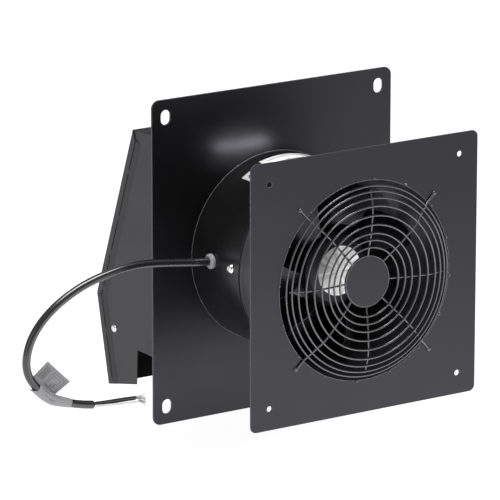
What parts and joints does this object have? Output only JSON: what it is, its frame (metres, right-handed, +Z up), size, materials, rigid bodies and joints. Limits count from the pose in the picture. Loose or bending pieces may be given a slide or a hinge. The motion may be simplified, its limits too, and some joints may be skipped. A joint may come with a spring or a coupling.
{
  "type": "exhaust hood fan",
  "caption": "Through-the-wall exhaust fan: guarded axial fan on a square plate, round wall duct, outside plate with slots, sloping weather hood and a short supply cable.",
  "frame": {"origin": "on the fan axis, in the plane where the outside plate seats against the wall", "axes": "+X to the right seen from the guard side, +Y along the air flow from the guard to the hood, +Z up"},
  "size_m": [0.5468, 0.3922, 0.397],
  "materials": {
    "plate_coat": "fine-texture satin powder coat",
    "hood_coat": "fine-texture satin powder coat",
    "housing_coat": "satin powder coat",
    "duct_coat": "semi-gloss black coat",
    "guard_wire": "gloss coat over wire",
    "bright_screw": "bright zinc plate",
    "label_white": "blank printed film",
    "rotor_label": "blank metallised film",
    "cast_alloy": "as cast",
    "lamination": "stacked sheet",
    "copper_enamel": "enamelled copper",
    "bearing_steel": "ground",
    "spring_steel": "phosphated",
    "rotor_paint": "semi-gloss black paint",
    "blade_paint": "semi-gloss black paint",
    "rivet_black": "satin coat",
    "gland_grey": "moulded nylon",
    "cable_jacket": "smooth jacket",
    "flag_grey": "blank printed film",
    "wire_black": "wire insulation",
    "wire_green": "wire insulation",
    "wire_white": "wire insulation",
    "tinned_copper": "tinned strand"
  },
  "bodies": {
    "frame": {"front_plate": "plate_coat", "fan_housing": "housing_coat", "wall_duct": "duct_coat", "rear_plate": "plate_coat", "duct_screws": "bright_screw", "duct_label": "label_white", "airflow_arrow": "label_white", "guard_ring_1": "guard_wire", "guard_ring_2": "guard_wire", "guard_ring_3": "guard_wire", "guard_ring_4": "guard_wire", "guard_ring_5": "guard_wire", "guard_ring_6": "guard_wire", "guard_ring_7": "guard_wire", "guard_ring_8": "guard_wire", "guard_ring_9": "guard_wire", "guard_long_spokes": "guard_wire", "guard_short_spokes": "guard_wire", "guard_disc": "plate_coat", "guard_weld_beads": "guard_wire", "motor_bracket": "duct_coat", "bracket_screws": "bright_screw", "motor_base": "cast_alloy", "bearing_tube": "cast_alloy", "stator_core": "lamination", "stator_windings": "copper_enamel", "front_bearing": "bearing_steel", "rear_bearing": "bearing_steel", "motor_lead": "cable_jacket", "hood_roof": "hood_coat", "hood_left_side": "hood_coat", "hood_right_side": "hood_coat", "hood_outer_panel": "hood_coat", "hood_lower_panel": "hood_coat", "hood_side_screws": "bright_screw", "hood_rivets": "rivet_black", "cable_gland": "gland_grey", "gland_nut": "gland_grey", "power_cable": "cable_jacket", "cable_flag": "flag_grey", "black_wire": "wire_black", "green_wire": "wire_green", "white_wire": "wire_white", "bare_wire_ends": "tinned_copper"},
    "rotor": {"rotor_shell": "rotor_paint", "rotor_core": "lamination", "motor_shaft": "bearing_steel", "shaft_circlip": "spring_steel", "rotor_label": "rotor_label", "fan_blades": "blade_paint"}
  },
  "joints": [
    {"name": "rotor_spin", "type": "hinge", "parent": "frame", "child": "rotor", "pos_m": [0, -0.11, 0], "axis": [0, 1, 0], "continuous": true}
  ]
}
